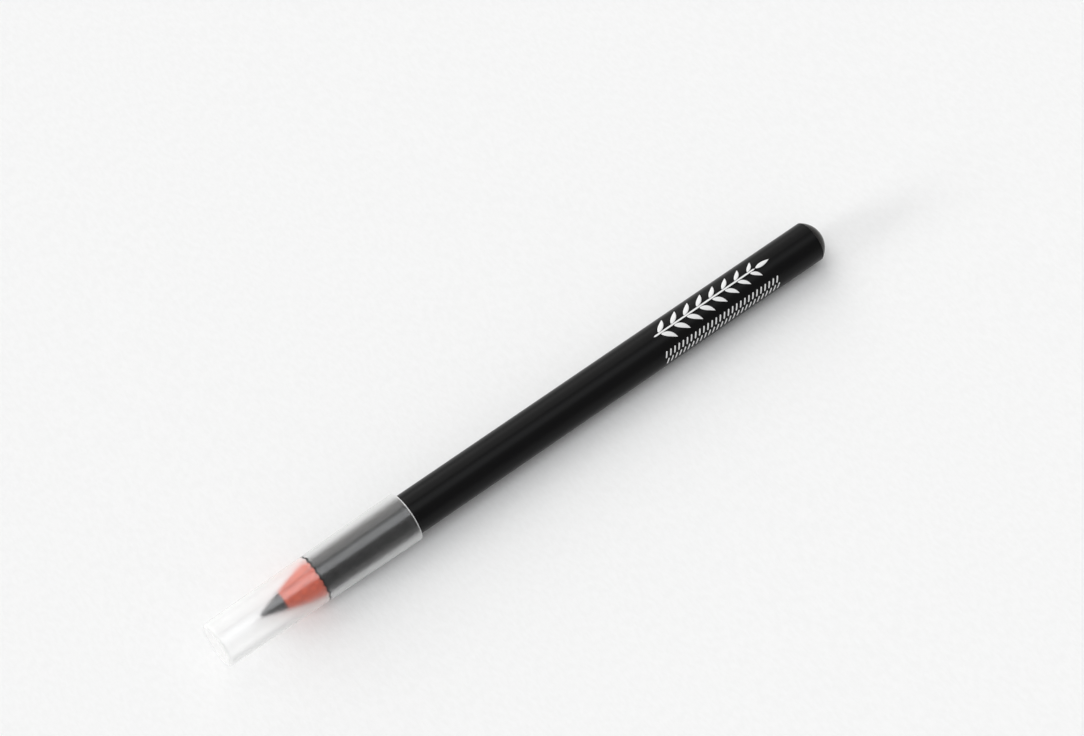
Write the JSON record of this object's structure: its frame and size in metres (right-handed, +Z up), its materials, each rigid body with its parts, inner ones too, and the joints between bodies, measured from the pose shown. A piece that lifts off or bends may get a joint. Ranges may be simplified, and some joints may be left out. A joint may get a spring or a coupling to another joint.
{
  "type": "eyeliner pencil",
  "caption": "Round wood-cased eyeliner pencil with a soft black core, satin black lacquer, a domed back end and a frosted push-on cap over its sharpened point.",
  "frame": {"origin": "under the middle of the lying pencil, on the surface that it rests on", "axes": "+X towards the pencil's domed back end, so the cap's closed end is at -X; +Z up. The pencil's axis leans 0.51 degrees down towards +X, because it rests on the cap's lip and on the back edge of the barrel"},
  "size_m": [0.1342, 0.0096, 0.0095],
  "materials": {
    "kohl": "soft waxy black, cut smooth by the sharpener",
    "cedar": "sharpened reddish pencil wood, bare",
    "lacquer": "satin black lacquer",
    "dip": "dipped lacquer, satin dark brown-grey",
    "frosted_cap": "translucent frosted plastic, fine turned texture"
  },
  "bodies": {
    "pencil": {"kohl_core": "kohl", "slat_front": "cedar", "slat_rear": "cedar", "lacquer_coat": "lacquer", "dipped_end": "dip"},
    "cap": {"cap": "frosted_cap"}
  },
  "joints": [
    {"name": "cap_slide", "type": "slide", "parent": "pencil", "child": "cap", "axis": [-1, 0, 0.009], "range_m": [0, 0.04]}
  ]
}
